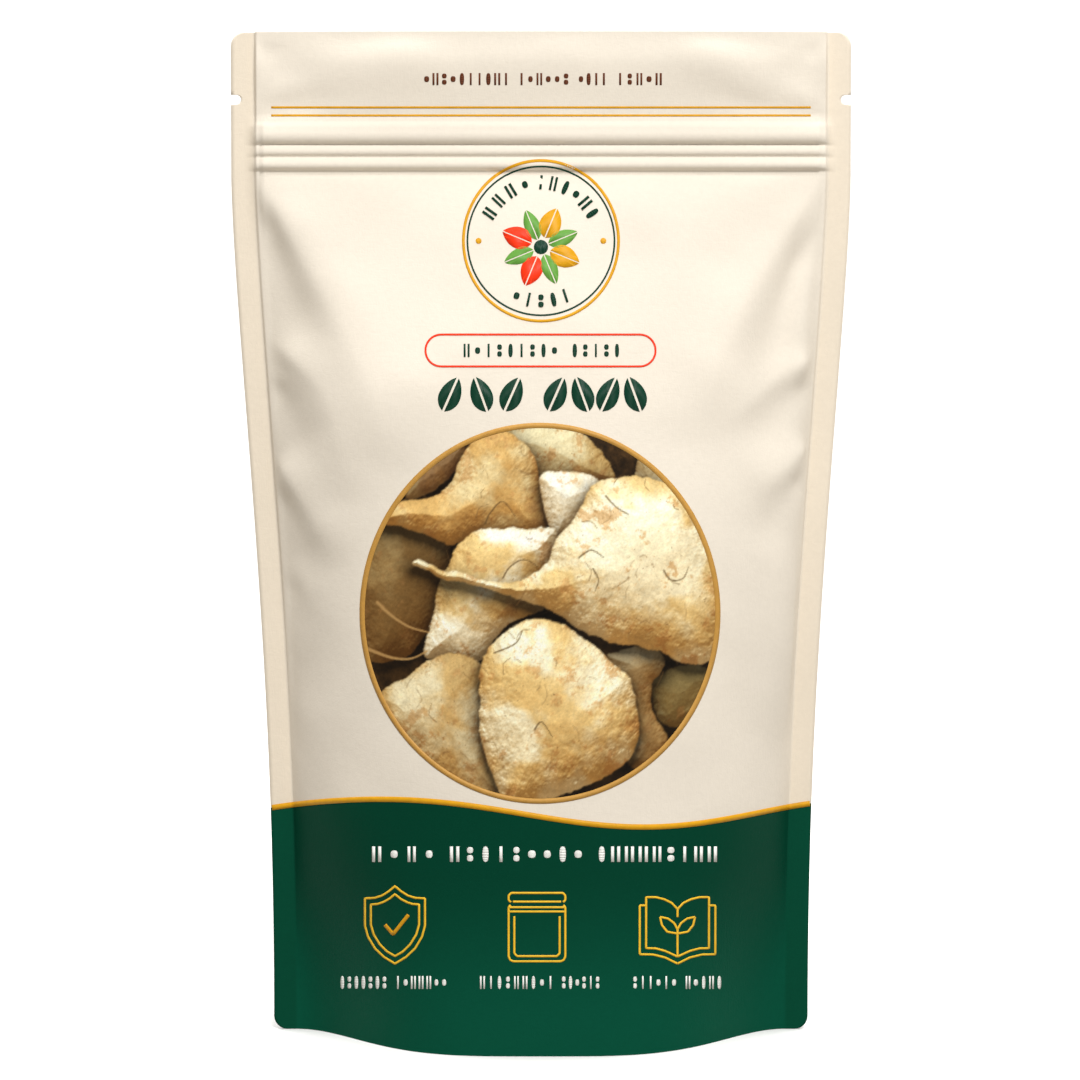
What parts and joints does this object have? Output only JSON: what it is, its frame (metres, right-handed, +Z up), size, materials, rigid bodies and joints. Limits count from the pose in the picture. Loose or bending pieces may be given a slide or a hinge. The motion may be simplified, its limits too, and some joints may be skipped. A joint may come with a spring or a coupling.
{
  "type": "stand-up seed pouch",
  "caption": "Filled stand-up film pouch with heat-sealed sides, a press-to-close double zip, tear notches, a folded bottom gusset and seeds inside.",
  "frame": {"origin": "on the surface that the pouch stands on, under the middle of its flat width and on the mid-plane between its two panels", "axes": "+X along the pouch's width to its right seen from the front, +Y out of its back, +Z up to the header; the front faces -Y"},
  "size_m": [0.13, 0.0582, 0.21],
  "materials": {
    "printed_film": "matte printed film, cream above a dark green foot",
    "gusset_film": "matte printed film, dark green",
    "zip_plastic": "milky extruded polyethylene",
    "seed_coat": "smooth brown seed coat"
  },
  "bodies": {
    "root": {"front_panel": "printed_film", "back_panel": "printed_film", "bottom_gusset": "gusset_film", "zip_male_tape": "zip_plastic", "zip_female_tape": "zip_plastic", "seed_01": "seed_coat", "seed_02": "seed_coat", "seed_03": "seed_coat", "seed_04": "seed_coat", "seed_05": "seed_coat", "seed_06": "seed_coat", "seed_07": "seed_coat", "seed_08": "seed_coat", "seed_09": "seed_coat", "seed_10": "seed_coat", "seed_11": "seed_coat", "seed_12": "seed_coat", "seed_13": "seed_coat", "seed_14": "seed_coat", "seed_15": "seed_coat", "seed_16": "seed_coat"}
  },
  "joints": []
}
